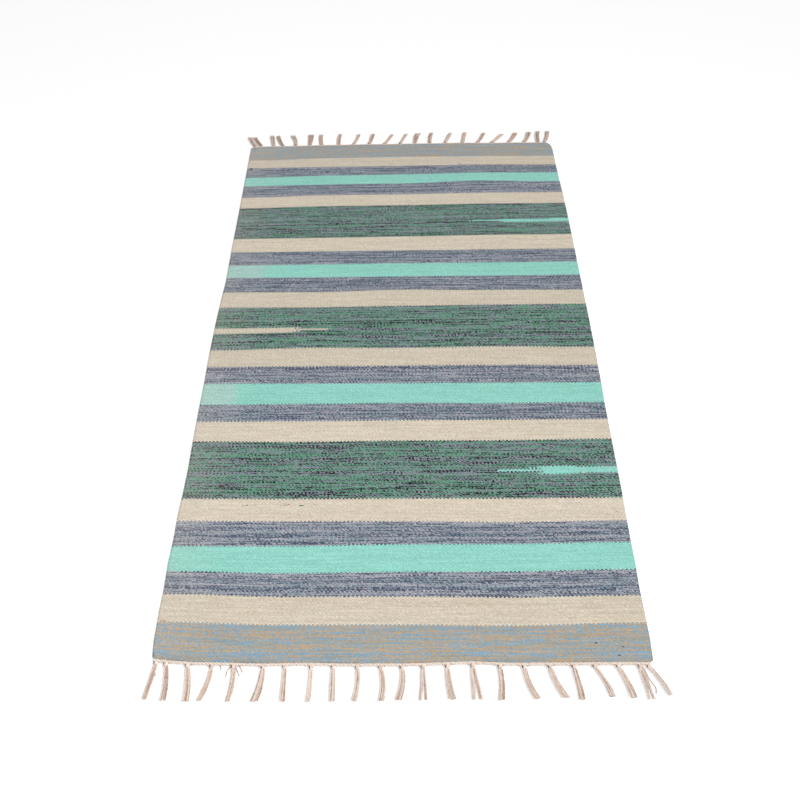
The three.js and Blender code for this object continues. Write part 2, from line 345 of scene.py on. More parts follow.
# Inserts from the near end: weft, first pass, and each pass's start and stop across the width.
INSERTS = (
    ("mint", -161, (
        (286, 368), (290, 452), (297, 452), (199, 452), (204, 452), (292, 452), (266, 452), (284, 362),
    )),
    ("cream_dull", 9, (
        (-452, -262), (-452, -243), (-452, -256), (-452, -176), (-452, -173), (-452, -258), (-452, -243),
    )),
    ("mint", 175, (
        (276, 452), (266, 452), (182, 452), (190, 452), (262, 452), (400, 452),
    )),
)
# A paler dye lot was used up at the left end of two mint stripes: first line, last line, its end.
PALE_LOTS = ((-190, -134, -372), (203, 249.5, -352))
PALE_LOT_RAGGEDNESS = 30
# Stray fibres spun into the weft: place across, place along, half their length, colour.
NEPS = (
    (-320, -441.5, 2.2, "#a49d93"), (-313, -441.5, 2.4, "#6f706c"), (-296, -441.5, 1.4, "#b0aba0"),
    (-244, -441.0, 1.8, "#b4aea2"), (-234, -441.0, 3.6, "#8a9391"), (-228, -439.0, 2.2, "#b3705e"),
    (-202, -442.0, 4.6, "#4c5a5e"), (-174, -440.5, 3.2, "#a3a39a"), (379, -369.0, 2.0, "#d8ded4"),
    (-163, 41.0, 6.0, "#3d4a46"), (131, 697.0, 4.0, "#3f7fc0"), (168, 654.4, 4.0, "#2f4f96"),
    (-438, 650.0, 5.0, "#3c3a48"), (81, 586.2, 3.6, "#4f8f86"), (123, 582.1, 2.6, "#63a096"),
    (352, -718.0, 2.4, "#34506e"), (391, -739.0, 2.4, "#6b5138"), (400, -725.0, 1.8, "#6b5138"),
    (-439, -682.5, 5.0, "#a8907a"), (432, -458.0, 2.0, "#a3927c"), (-396, 342.0, 3.0, "#9d9286"),
    (-225, 342.0, 2.4, "#b79a80"), (328, -506.0, 2.0, "#b0aa98"), (301, -245.0, 2.0, "#a99c85"),
    (-10, -245.0, 2.0, "#ab9e86"), (29, 54.0, 3.5, "#201c26"), (-124, 739.0, 3.0, "#64788a"),
    (-228, 718.0, 3.0, "#6d6c62"), (-420, 568.0, 3.5, "#86b3a9"), (-158, 47.0, 14.0, "#343b3f"),
    (-152, 39.0, 12.0, "#33403b"), (-205, 20.5, 22.0, "#3a4543"), (-438, 646.5, 3.6, "#3c3a48"),
    (-437, 643.5, 3.2, "#4c4b56"), (-439, 471.0, 3.6, "#35463a"), (-438, 467.5, 4.2, "#26352c"),
    (-441, 745.0, 2.6, "#4f7388"), (-440, 741.5, 2.6, "#5f6a70"), (-439, 731.5, 2.6, "#58809a"),
)
NEP_THICKNESS = 1.1
# The left side is a little faded, from one place across the width to the other.
FADED_SIDE = (-340, -450)
FADING = 0.12
FADED = "#d2c6ba"
ROLL_PER_WARP = 0.035
ROLL_TURNS = 1.2
ROLL_JITTER = 0.68
ROLL_ODD_WARP = 0.35
ROLL_ACROSS_BEAD = 0.12
# Three strands to a bead, which is as long as two passes. They slant down to the right in each bead
# by this share of a strand, because the pass is twisted.
LINES_PER_PASS = 1.5
STRAND_SLANT = 0.8
# Lines of strands are this far apart in the noise, so that neighbours roll differently.
LINE_APART = 13.7
TONE_VARIATION = 0.3
BEAD_VARIATION = 0.2
# How much painted shade darkens the colour in the gaps between the beads.
BEAD_SHADE = 0.22
BEAD_SIDE_DIP = 0.45
BEAD_HEIGHT = 0.45
# Fibres to a millimetre. Real ones are far finer and wouldn't show.
FIBRE_SCALE = 2.2
FIBRE_SHARE = 0.25
COUNTING_START = 400

# Cotton plain weave: matt and slightly fuzzy. It gives the eye the rows of small beads, with painted shade
# in the gaps between them, the dyed dashes that run with the weft, and the zigzag where two stripes meet.
plain_weave = new_material("cotton_plain_weave")
weave = plain_weave.node_tree
loom_place = add_node(weave, "ShaderNodeAttribute", attribute_name="loom")
loom = add_node(weave, "ShaderNodeSeparateXYZ", (loom_place.outputs["Vector"],))
loom_across = loom.outputs["X"]
loom_along = loom.outputs["Y"]
warp_place = add_node(weave, MATH, (loom_across, 1 / WARP_PITCH, WARPS / 2), operation="MULTIPLY_ADD")
warp = add_node(weave, MATH, (warp_place,), operation="FLOOR")
across_bead = add_node(weave, MATH, (warp_place,), operation="FRACT")
face = add_node(weave, MATH, (loom.outputs["Z"],), operation="ROUND")
shed = add_node(weave, MATH, (warp, face), operation="ADD")
odd = add_node(weave, MATH, (shed, 2.0), operation="MODULO")
first_pass = add_node(weave, MATH, (odd, COUNTING_START), operation="ADD")
pass_place = add_node(weave, MATH, (loom_along, 1 / PASS, first_pass), operation="MULTIPLY_ADD")
bead_place = add_node(weave, MATH, (pass_place, 0.5), operation="MULTIPLY")
along_bead = add_node(weave, MATH, (bead_place,), operation="FRACT")
bead_row = add_node(weave, MATH, (bead_place,), operation="FLOOR")
even_pass = add_node(weave, MATH, (bead_row, 2.0, 1.0), operation="MULTIPLY_ADD")
pass_number = add_node(weave, MATH, (even_pass, odd), operation="SUBTRACT")

# The weft of each pass, as the place of its colours on the ramps below.
weft_names = list(WEFTS)
weft_step = 1 / len(weft_names)
weft_code = {name: (i + 0.5) * weft_step for i, name in enumerate(weft_names)}
weft = add_node(weave, "ShaderNodeValue")
weft.outputs[0].default_value = weft_code[STRIPES[0][0]]
for (before, _, _), (after, start, _) in zip(STRIPES[:-1], STRIPES[1:]):
    past = add_node(weave, MATH, (pass_number, start / PASS + COUNTING_START), operation="GREATER_THAN")
    change = weft_code[after] - weft_code[before]
    weft = add_node(weave, MATH, (past, change, weft), operation="MULTIPLY_ADD")

own_start = add_node(weave, "ShaderNodeTexWhiteNoise", {"W": pass_number}, noise_dimensions="1D")
ragged = add_node(weave, MATH, (
    own_start.outputs["Value"], -PALE_LOT_RAGGEDNESS, loom_across,
), operation="MULTIPLY_ADD")
for start, stop, lot_end in PALE_LOTS:
    middle_pass = (start + stop) / 2 / PASS + COUNTING_START
    in_stripe = add_node(weave, MATH, (
        pass_number, middle_pass, (stop - start) / 2 / PASS,
    ), operation="COMPARE")
    beside = add_node(weave, MATH, (ragged, lot_end - PALE_LOT_RAGGEDNESS / 2), operation="LESS_THAN")
    inside = add_node(weave, MATH, (in_stripe, beside), operation="MULTIPLY")
    paler = weft_code["pale_mint"] - weft_code["mint"]
    weft = add_node(weave, MATH, (inside, paler, weft), operation="MULTIPLY_ADD")

# An insert's ramp has a cell for nothing, one for each of its passes, and one for nothing. A pass
# falls in the middle of its cell, whose red is where its weft starts and green where it stops.
warp_share = add_node(weave, MATH, (loom_across, 1 / CLOTH_WIDTH, 0.5), operation="MULTIPLY_ADD")
for name, row_start, rows in INSERTS:
    count = len(rows) + 2
    row_place = add_node(weave, MATH, (
        pass_number, 1 / count, (1.5 - row_start - COUNTING_START) / count,
    ), operation="MULTIPLY_ADD")
    nothing = (1.0, 1.0, 0.0, 1.0)
    ends = [(start / CLOTH_WIDTH + 0.5, stop / CLOTH_WIDTH + 0.5, 0.0, 1.0) for start, stop in rows]
    row = add_node(weave, "ShaderNodeValToRGB", (row_place,), stops=[
        (i / count, row_ends) for i, row_ends in enumerate([nothing, *ends, nothing])
    ])
    row.color_ramp.interpolation = "CONSTANT"
    limits = add_node(weave, "ShaderNodeSeparateColor", (row,))
    after_start = add_node(weave, MATH, (warp_share, limits.outputs["Red"]), operation="GREATER_THAN")
    before_stop = add_node(weave, MATH, (warp_share, limits.outputs["Green"]), operation="LESS_THAN")
    laid_in = add_node(weave, MATH, (after_start, before_stop), operation="MULTIPLY")
    to_insert = add_node(weave, MATH, (weft_code[name], weft), operation="SUBTRACT")
    weft = add_node(weave, MATH, (laid_in, to_insert, weft), operation="MULTIPLY_ADD")

# How far the three strands have rolled at this bead, and which of them lies on top.
level_line = add_node(weave, MATH, (loom_along, LINES_PER_PASS / PASS), operation="MULTIPLY")
strand_line = add_node(weave, MATH, (across_bead, STRAND_SLANT, level_line), operation="MULTIPLY_ADD")
line_number = add_node(weave, MATH, (strand_line,), operation="FLOOR")
line_start = add_node(weave, "ShaderNodeTexWhiteNoise", {"W": line_number}, noise_dimensions="1D")
bead_seed = add_node(weave, "ShaderNodeCombineXYZ", (warp, line_number))
bead_noise = add_node(weave, "ShaderNodeTexWhiteNoise", {"Vector": bead_seed}, noise_dimensions="2D")
bead_rolls = add_node(weave, "ShaderNodeSeparateColor", (bead_noise.outputs["Color"],))
roll_across = add_node(weave, MATH, (warp, ROLL_PER_WARP), operation="MULTIPLY")
roll_along = add_node(weave, MATH, (line_number, LINE_APART), operation="MULTIPLY")
roll_seed = add_node(weave, "ShaderNodeCombineXYZ", (roll_across, roll_along))
roll_noise = add_node(weave, "ShaderNodeTexNoise", {
    "Vector": roll_seed, "Scale": 1.0, "Detail": 1.0,
}, noise_dimensions="2D")
rolls = add_node(weave, "ShaderNodeSeparateColor", (roll_noise.outputs["Color"],))
rolled = add_node(weave, MATH, (
    rolls.outputs["Red"], ROLL_TURNS, line_start.outputs["Value"],
), operation="MULTIPLY_ADD")
slanted = add_node(weave, MATH, (across_bead, ROLL_ACROSS_BEAD, rolled), operation="MULTIPLY_ADD")
line_rolls = add_node(weave, "ShaderNodeSeparateColor", (line_start.outputs["Color"],))
odd_roll = add_node(weave, MATH, (line_rolls.outputs["Green"], ROLL_ODD_WARP), operation="MULTIPLY")
alternating = add_node(weave, MATH, (odd, odd_roll, slanted), operation="MULTIPLY_ADD")
# Some lines of strands lie smooth and others are ruffled from bead to bead.
ruffled = add_node(weave, MATH, (rolls.outputs["Blue"], ROLL_JITTER), operation="MULTIPLY")
jittered = add_node(weave, MATH, (bead_rolls.outputs["Red"], ruffled, alternating), operation="MULTIPLY_ADD")
strand_place = add_node(weave, MATH, (jittered,), operation="FRACT")
share_ramp = add_node(weave, "ShaderNodeValToRGB", (weft,), stops=[
    (i * weft_step, (*STRAND_SHARES[name], 0.0, 1.0)) for i, name in enumerate(weft_names)
])
share_ramp.color_ramp.interpolation = "CONSTANT"
shares = add_node(weave, "ShaderNodeSeparateColor", (share_ramp,))
past_first = add_node(weave, MATH, (strand_place, shares.outputs["Red"]), operation="GREATER_THAN")
past_second = add_node(weave, MATH, (strand_place, shares.outputs["Green"]), operation="GREATER_THAN")
strands = []
for strand in range(3):
    dyes = [(i * weft_step, linear(WEFTS[name][strand])) for i, name in enumerate(weft_names)]
    strands.append(add_node(weave, "ShaderNodeValToRGB", (weft,), stops=dyes))
    strands[strand].color_ramp.interpolation = "CONSTANT"
first_two = add_node(weave, "ShaderNodeMix", {
    FACTOR: past_first,
    FIRST: strands[0],
    SECOND: strands[1],
}, data_type="RGBA")
dyed = add_node(weave, "ShaderNodeMix", {
    FACTOR: past_second,
    FIRST: first_two.outputs[RESULT],
    SECOND: strands[2],
}, data_type="RGBA")

faded = add_node(weave, "ShaderNodeMapRange", {
    "Value": loom_across,
    "From Min": FADED_SIDE[0],
    "From Max": FADED_SIDE[1],
    "To Max": FADING,
})
dyed = add_node(weave, "ShaderNodeMix", {
    FACTOR: faded,
    FIRST: dyed.outputs[RESULT],
    SECOND: linear(FADED),
}, data_type="RGBA")

for nep_across, nep_along, half_length, dye in NEPS:
    near_across = add_node(weave, MATH, (loom_across, nep_across, half_length), operation="COMPARE")
    near_along = add_node(weave, MATH, (loom_along, nep_along, NEP_THICKNESS), operation="COMPARE")
    on_nep = add_node(weave, MATH, (near_across, near_along), operation="MULTIPLY")
    dyed = add_node(weave, "ShaderNodeMix", {
        FACTOR: on_nep,
        FIRST: dyed.outputs[RESULT],
        SECOND: linear(dye),
    }, data_type="RGBA")

# Each bead is round, with painted shade in the gaps round it, and lighter or darker along the pass.
from_side = add_node(weave, MATH, (across_bead, 2.0, -1.0), operation="MULTIPLY_ADD")
from_end = add_node(weave, MATH, (along_bead, 2.0, -1.0), operation="MULTIPLY_ADD")
side_squared = add_node(weave, MATH, (from_side, from_side), operation="MULTIPLY")
end_squared = add_node(weave, MATH, (from_end, from_end), operation="MULTIPLY")
round_across = add_node(weave, MATH, (side_squared, -BEAD_SIDE_DIP, 1.0), operation="MULTIPLY_ADD")
round_along = add_node(weave, MATH, (1.0, end_squared), operation="SUBTRACT")
bead_squared = add_node(weave, MATH, (round_across, round_along), operation="MULTIPLY")
bead = add_node(weave, MATH, (bead_squared,), operation="SQRT")
# Painted shade: the weft's colour is darkened towards the edges of each bead.
painted_gap_shade = add_node(weave, MATH, (bead, BEAD_SHADE, 1.0 - BEAD_SHADE), operation="MULTIPLY_ADD")
streak = add_node(weave, MATH, (
    rolls.outputs["Green"], TONE_VARIATION, 1.0 - TONE_VARIATION / 2,
), operation="MULTIPLY_ADD")
own_tone = add_node(weave, MATH, (
    bead_rolls.outputs["Green"], BEAD_VARIATION, 1.0 - BEAD_VARIATION / 2,
), operation="MULTIPLY_ADD")
gap_shade_and_bead_tone = add_node(weave, MATH, (painted_gap_shade, own_tone), operation="MULTIPLY")
gap_shade_and_tone = add_node(weave, MATH, (gap_shade_and_bead_tone, streak), operation="MULTIPLY")
shaded = add_node(weave, "ShaderNodeVectorMath", {0: dyed.outputs[RESULT], "Scale": gap_shade_and_tone}, operation="SCALE")
fibres = add_node(weave, "ShaderNodeTexNoise", {
    "Vector": loom_place.outputs["Vector"], "Scale": FIBRE_SCALE, "Detail": 2.0,
})
height = add_node(weave, MATH, (fibres, FIBRE_SHARE, bead), operation="MULTIPLY_ADD")
relief = add_node(weave, "ShaderNodeBump", {"Height": height, "Distance": BEAD_HEIGHT * MM, "Strength": 1.0})
woven_cotton = add_node(weave, "ShaderNodeBsdfPrincipled", {
    "Base Color": shaded,
    "Roughness": 0.92,
    "Specular IOR Level": 0.15,
    "Sheen Weight": 0.12,
    "Sheen Roughness": 0.6,
    "Normal": relief,
})
add_node(weave, "ShaderNodeOutputMaterial", {"Surface": woven_cotton})

woven_cloth = new_piece("woven_cloth", woven_mesh(), plain_weave)
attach(woven_cloth, "root")
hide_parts("rug_cloth")

# Weft turns: at both sides each pass goes round the outermost warp and back, which rounds the
# edge and gives it a row of small loops. They are the weft itself, so nothing else holds them.
TURN_HEIGHT = 3.0
TURN_YARN = 1.0
TURN_WIDTH = 4.5
TURN_INSET = 1.15
TURN_STEPS = 7
TURN_SIDES = 8
TURN_SEED = 5
TURN_SMALLEST = (0.90, 0.94, 0.97)
TURN_LARGEST = (1.12, 1.02, 1.00)


def new_geometry_tree(name, inputs):
    """A geometry tree with named inputs, and its input node."""
    tree = bpy.data.node_groups.new(name, "GeometryNodeTree")
    for label, kind in inputs.items():
        tree.interface.new_socket(name=label, in_out="INPUT", socket_type="NodeSocket" + kind)
    tree.interface.new_socket(name="Piece", in_out="OUTPUT", socket_type="NodeSocketGeometry")
    return tree, add_node(tree, "NodeGroupInput").outputs


def made_by(tree, name, guide, values):
    """The piece that a geometry tree makes from a guide mesh, as a plain mesh."""
    holder = new_piece(name + "_guide", guide)
    modifier = holder.modifiers.new("made_by", "NODES")
    modifier.node_group = tree
    for item in tree.interface.items_tree:
        if item.in_out == "INPUT" and item.name in values:
            modifier[item.identifier] = values[item.name]
    bpy.context.view_layer.update()
    graph = bpy.context.evaluated_depsgraph_get()
    mesh = bpy.data.meshes.new_from_object(
        holder.evaluated_get(graph), preserve_all_data_layers=True, depsgraph=graph
    )
    bpy.data.objects.remove(holder)
    mesh.name = name
    return new_piece(name, mesh)


turn_tree, turn_in = new_geometry_tree("weft_turn", {
    "Places": "Geometry",
    "Turn height": "Float",
    "Turn width": "Float",
    "Yarn": "Float",
    "Weft": "Material",
})
turn_rise = add_node(turn_tree, MATH, (turn_in["Turn height"], turn_in["Yarn"]), operation="SUBTRACT")
turn_radius = add_node(turn_tree, MATH, (turn_rise, 0.5), operation="MULTIPLY")
arc = add_node(turn_tree, "GeometryNodeCurveArc", {
    "Resolution": TURN_STEPS,
    "Radius": turn_radius,
    "Start Angle": math.radians(-90),
    "Sweep Angle": math.radians(180),
})
upright = add_node(turn_tree, "GeometryNodeTransform", {
    "Geometry": arc,
    "Rotation": (math.radians(90), 0.0, 0.0),
})
yarn_radius = add_node(turn_tree, MATH, (turn_in["Yarn"], 0.5), operation="MULTIPLY")
yarn_section = add_node(turn_tree, "GeometryNodeCurvePrimitiveCircle", {
    "Resolution": TURN_SIDES,
    "Radius": yarn_radius,
})
loop = add_node(turn_tree, "GeometryNodeCurveToMesh", {
    "Curve": upright,
    "Profile Curve": yarn_section,
    "Fill Caps": True,
})
widening = add_node(turn_tree, MATH, (turn_in["Turn width"], turn_in["Yarn"]), operation="DIVIDE")
wide_scale = add_node(turn_tree, "ShaderNodeCombineXYZ", (1.0, widening, 1.0))
wide_loop = add_node(turn_tree, "GeometryNodeTransform", {"Geometry": loop, "Scale": wide_scale})
facing = add_node(turn_tree, "GeometryNodeInputNamedAttribute", {"Name": "facing"}, data_type="FLOAT")
turned = add_node(turn_tree, "ShaderNodeCombineXYZ", {"Z": facing})
uneven = add_node(turn_tree, "FunctionNodeRandomValue", {
    "Min": TURN_SMALLEST,
    "Max": TURN_LARGEST,
    "Seed": TURN_SEED,
}, data_type="FLOAT_VECTOR")
laid = add_node(turn_tree, "GeometryNodeInstanceOnPoints", {
    "Points": turn_in["Places"],
    "Instance": wide_loop,
    "Rotation": turned,
    "Scale": uneven,
})
real = add_node(turn_tree, "GeometryNodeRealizeInstances", (laid,))
# The loom place of a turn runs on with its own length, so that it takes the dye of its pass.
stored = add_node(turn_tree, "GeometryNodeInputNamedAttribute", {"Name": "loom"}, data_type="FLOAT_VECTOR")
place = add_node(turn_tree, "GeometryNodeInputPosition")
place_parts = add_node(turn_tree, "ShaderNodeSeparateXYZ", (place,))
along_part = add_node(turn_tree, MATH, (place_parts.outputs["Y"], 1 / MM), operation="MULTIPLY")
shift = add_node(turn_tree, "ShaderNodeCombineXYZ", {"Y": along_part})
loom_sum = add_node(turn_tree, "ShaderNodeVectorMath", (stored, shift), operation="ADD")
with_loom = add_node(turn_tree, "GeometryNodeStoreNamedAttribute", {
    "Geometry": real,
    "Name": "loom",
    "Value": loom_sum,
}, data_type="FLOAT_VECTOR", domain="POINT")
rounded = add_node(turn_tree, "GeometryNodeSetShadeSmooth", {"Geometry": with_loom})
finished = add_node(turn_tree, "GeometryNodeSetMaterial", {"Geometry": rounded, "Material": turn_in["Weft"]})
add_node(turn_tree, "NodeGroupOutput", (finished,))


def turn_places():
    """A point for each turn of the weft, with the way it faces and the loom place it shows."""
    passes = np.arange(1, PASSES)
    along = -END + passes * PASS
    left = passes % 2 == 1
    side = np.where(left, -SIDE, SIDE)
    x, y = on_floor(side, along)
    ahead_x, ahead_y = on_floor(side, along + PASS / 2)
    slope = np.arctan2(ahead_x - x, ahead_y - y)
    facing_angle = np.where(left, math.pi, 0.0) - slope
    x -= TURN_INSET * np.cos(facing_angle)
    y -= TURN_INSET * np.sin(facing_angle)
    mesh = bpy.data.meshes.new("turn_places")
    mesh.from_pydata(np.stack([x, y, np.full(len(x), CLOTH_THICKNESS / 2)], 1) * MM, [], [])
    set_attribute(mesh, "facing", "FLOAT", facing_angle)
    edge_warp = np.where(left, -SIDE + WARP_PITCH / 2, SIDE - WARP_PITCH / 2)
    set_attribute(mesh, "loom", "FLOAT_VECTOR", np.stack([edge_warp, along - y, np.zeros(len(x))], 1))
    return mesh


weft_turns = made_by(turn_tree, "weft_turns", turn_places(), {
    "Turn height": TURN_HEIGHT * MM,
    "Turn width": TURN_WIDTH * MM,
    "Yarn": TURN_YARN * MM,
    "Weft": plain_weave,
})
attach(weft_turns, "root")

# Headings: the last rows at each end are two undyed cotton yarns twined along the edge, which
# locks the weft. They lie as one thick pale cord between the cloth and the knots.
WARP_YARN = 1.9
YARN_TWIST = 15.0
YARN_STEP = 1.35
YARN_FLATNESS = (1.12, 0.86, 1.0)
YARN_SIDES = 6
OWN_TURN = 7.3
HEADING_YARN = {"near": 3.7, "far": 3.1}
HEADING_OUT = {"near": 2.5, "far": 1.6}
HEADING_LIFT = 0.56
HEADING_TWINE = 14.0
HEADING_TWINE_STEPS = 8
HEADING_TWINE_WIDTH = {"near": 1.15, "far": 0.8}
HEADING_TWINE_RISE = 0.8
# How unevenly it was twined, and how far the cord wanders, each with the length it repeats by.
HEADING_UNEVEN = (0.8, 31)
HEADING_WANDER = (0.3, 23)
HEADING_REACH = {"near": (-441, 441), "far": (-446, 429)}
HEADING_SHADES = {"near": (0.75, 0.5), "far": (1.0, 0.75)}
# The darkest yarn colour is a painted shadow, for the hollows beside the knots; the darkest yarns lean
# towards it.
YARN_PAINTED_SHADOW = "#74503f"
YARN_DARK = "#c9a894"
YARN_MIDDLE = "#e2cfc0"
YARN_PALE = "#f0e2d6"
# How much painted shade darkens the groove between the two plies.
GROOVE_SHADE = 0.2
BLOTCH_SCALE = 160.0
BLOTCH_SHARE = 0.8
# The fuzz is far coarser than real fibres, so that it shows.
FUZZ_SCALE = 1800.0
FUZZ_HEIGHT = 0.25
OUT = {"near": -1, "far": 1}


def edge_at(end, x):
    """How far the cloth's edge is from the middle of the rug, in millimetres."""
    return END + np.interp(x, END_WANDER[:, 0], END_WANDER[:, 1 if end == "near" else 2])


def beyond(end, x, out, z):
    """A point that lies a distance out from the cloth's edge."""
    return (x, OUT[end] * (edge_at(end, x) + out), z)


def guides(name, paths):
    """A mesh of lines to lay yarns on, from a list of (points, thickness, shade), in millimetres."""
    mesh = bpy.data.meshes.new(name)
    points = [point for path, _, _ in paths for point in path]
    edges = []
    first = 0
    for path, _, _ in paths:
        edges += [(first + i, first + i + 1) for i in range(len(path) - 1)]
        first += len(path)
    mesh.from_pydata(np.array(points) * MM, edges, [])
    set_attribute(mesh, "thickness", "FLOAT", [thick for path, thick, _ in paths for _ in path])
    set_attribute(mesh, "shade", "FLOAT", [shade for path, _, shade in paths for _ in path])
    return mesh


# Undyed plied cotton: matt cream yarn. It gives the eye a paler and a pinker yarn side by side,
# painted shade in the groove between the two plies, and a soft fuzz.
undyed_yarn = new_material("undyed_plied_cotton_yarn")
yarn_nodes = undyed_yarn.node_tree
shade = add_node(yarn_nodes, "ShaderNodeAttribute", attribute_name="shade")
section = add_node(yarn_nodes, "ShaderNodeAttribute", attribute_name="section")
section_parts = add_node(yarn_nodes, "ShaderNodeSeparateXYZ", (section.outputs["Vector"],))
ply_crown = add_node(yarn_nodes, MATH, (section_parts, 2.0), operation="POWER")
yarn_place = add_node(yarn_nodes, "ShaderNodeTexCoord")
blotches = add_node(yarn_nodes, "ShaderNodeTexNoise", {
    "Vector": yarn_place.outputs["Object"],
    "Scale": BLOTCH_SCALE,
    "Detail": 3.0,
})
blotched = add_node(yarn_nodes, MATH, (
    blotches, BLOTCH_SHARE, shade.outputs["Fac"],
), operation="MULTIPLY_ADD")
yarn_tones = add_node(yarn_nodes, "ShaderNodeValToRGB", (blotched,), stops=(
    # The lowest stop is the painted shadow colour.
    (0.0, linear(YARN_PAINTED_SHADOW)),
    (0.35, linear(YARN_DARK)),
    (0.75, linear(YARN_MIDDLE)),
    (1.0, linear(YARN_PALE)),
))
# Painted shade: the yarn's colour is darker away from the crown of each ply, in the groove between them.
painted_groove_shade = add_node(yarn_nodes, MATH, (
    ply_crown, GROOVE_SHADE, 1.0 - GROOVE_SHADE,
), operation="MULTIPLY_ADD")
yarn_colour = add_node(yarn_nodes, "ShaderNodeVectorMath", {
    0: yarn_tones,
    "Scale": painted_groove_shade,
}, operation="SCALE")
fuzz = add_node(yarn_nodes, "ShaderNodeTexNoise", {
    "Vector": yarn_place.outputs["Object"],
    "Scale": FUZZ_SCALE,
    "Detail": 2.0,
})
yarn_relief = add_node(yarn_nodes, "ShaderNodeBump", {
    "Height": fuzz,
    "Distance": FUZZ_HEIGHT * MM,
    "Strength": 0.8,
})
plied_cotton = add_node(yarn_nodes, "ShaderNodeBsdfPrincipled", {
    "Base Color": yarn_colour,
    "Roughness": 0.92,
    "Specular IOR Level": 0.15,
    "Sheen Weight": 0.2,
    "Sheen Roughness": 0.6,
    "Normal": yarn_relief,
})
add_node(yarn_nodes, "ShaderNodeOutputMaterial", {"Surface": plied_cotton})

yarn_tree, yarn_in = new_geometry_tree("plied_yarn", {
    "Guides": "Geometry",
    "Yarn diameter": "Float",
    "Twist length": "Float",
    "Step": "Float",
    "Cotton": "Material",
})
lines = add_node(yarn_tree, "GeometryNodeMeshToCurve", {"Mesh": yarn_in["Guides"]})
soft_lines = add_node(yarn_tree, "GeometryNodeCurveSplineType", {"Curve": lines}, spline_type="CATMULL_ROM")
stepped = add_node(yarn_tree, "GeometryNodeResampleCurve", {
    "Curve": soft_lines,
    "Length": yarn_in["Step"],
}, mode="LENGTH")
travelled = add_node(yarn_tree, "GeometryNodeSplineParameter")
turns = add_node(yarn_tree, MATH, (
    travelled.outputs["Length"], yarn_in["Twist length"],
), operation="DIVIDE")
shade_here = add_node(yarn_tree, "GeometryNodeInputNamedAttribute", {"Name": "shade"}, data_type="FLOAT")
all_turns = add_node(yarn_tree, MATH, (shade_here, OWN_TURN, turns), operation="MULTIPLY_ADD")
angle = add_node(yarn_tree, MATH, (all_turns, 2 * math.pi), operation="MULTIPLY")
twisted = add_node(yarn_tree, "GeometryNodeSetCurveTilt", {"Curve": stepped, "Tilt": angle})
circle = add_node(yarn_tree, "GeometryNodeCurvePrimitiveCircle", {"Resolution": YARN_SIDES, "Radius": 1.0})
circle_place = add_node(yarn_tree, "GeometryNodeInputPosition")
named_circle = add_node(yarn_tree, "GeometryNodeStoreNamedAttribute", {
    "Geometry": circle,
    "Name": "section",
    "Value": circle_place,
}, data_type="FLOAT_VECTOR", domain="POINT")
two_plies = add_node(yarn_tree, "GeometryNodeTransform", {"Geometry": named_circle, "Scale": YARN_FLATNESS})
thickness_here = add_node(yarn_tree, "GeometryNodeInputNamedAttribute", {
    "Name": "thickness",
}, data_type="FLOAT")
half_yarn = add_node(yarn_tree, MATH, (yarn_in["Yarn diameter"], 0.5), operation="MULTIPLY")
yarn_scale = add_node(yarn_tree, MATH, (half_yarn, thickness_here), operation="MULTIPLY")
yarn_body = add_node(yarn_tree, "GeometryNodeCurveToMesh", {
    "Curve": twisted,
    "Profile Curve": two_plies,
    "Scale": yarn_scale,
    "Fill Caps": True,
})
soft_yarn = add_node(yarn_tree, "GeometryNodeSetShadeSmooth", {"Geometry": yarn_body})
whole_yarn = add_node(yarn_tree, "GeometryNodeRealizeInstances", (soft_yarn,))
cotton_yarn = add_node(yarn_tree, "GeometryNodeSetMaterial", {
    "Geometry": whole_yarn,
    "Material": yarn_in["Cotton"],
})
add_node(yarn_tree, "NodeGroupOutput", (cotton_yarn,))


def yarn_piece(name, paths, diameter):
    """A piece of plied cotton yarns laid along their paths."""
    piece = made_by(yarn_tree, name, guides(name + "_paths", paths), {
        "Yarn diameter": diameter * MM,
        "Twist length": YARN_TWIST * MM,
        "Step": YARN_STEP * MM,
        "Cotton": undyed_yarn,
    })
    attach(piece, "root")
    return piece


def heading_paths(end):
    """Two yarns twined round each other along the edge."""
    start, stop = HEADING_REACH[end]
    paths = []
    for half_turn, shade_value in zip((0, math.pi), HEADING_SHADES[end]):
        points = []
        for x in np.arange(start, stop, HEADING_TWINE / HEADING_TWINE_STEPS):
            twine = 2 * math.pi * x / HEADING_TWINE + half_turn
            twine += HEADING_UNEVEN[0] * math.sin(x / HEADING_UNEVEN[1])
            out = HEADING_OUT[end] + HEADING_TWINE_WIDTH[end] * math.sin(twine)
            out += HEADING_WANDER[0] * math.sin(x / HEADING_WANDER[1])
            up = HEADING_YARN[end] * HEADING_LIFT + HEADING_TWINE_RISE * (1 + math.cos(twine))
            points.append(beyond(end, x, out, up))
        paths.append((points, 1.0, shade_value))
    return paths


headings = [yarn_piece(end + "_heading", heading_paths(end), HEADING_YARN[end]) for end in OUT]

# Warp ends and tassels: the 228 warps come out of each end of the cloth, run along the edge to the
# nearest knot, pass through it and lie loose on the floor as a tassel of five to twelve ends.
KNOT_OUT = {"near": 7.2, "far": 6.2}
KNOT_HEIGHT = 2.7
# A warp end's way from the cloth to its knot: the share of its place aside from the knot that is
# left, how far out from the cloth's edge it is, and its height.
WAY_TO_KNOT = ((1.0, -2.0, 1.4), (1.0, 0.6, 1.2), (0.90, 2.6, 1.0), (0.52, 4.2, 1.2))
ASIDE_AT_KNOT = 0.14
# Where the bundle enters and leaves its knot, outward from the knot's middle.
THROUGH_KNOT = (-1.0, 1.2)
BUNDLE_RADIUS = 1.6
BUNDLE_RISE = 0.9
BUNDLE_TURN = 0.3
# The ends lie on the floor in two layers, this many yarns up.
LAYERS = (1.28, 0.5)
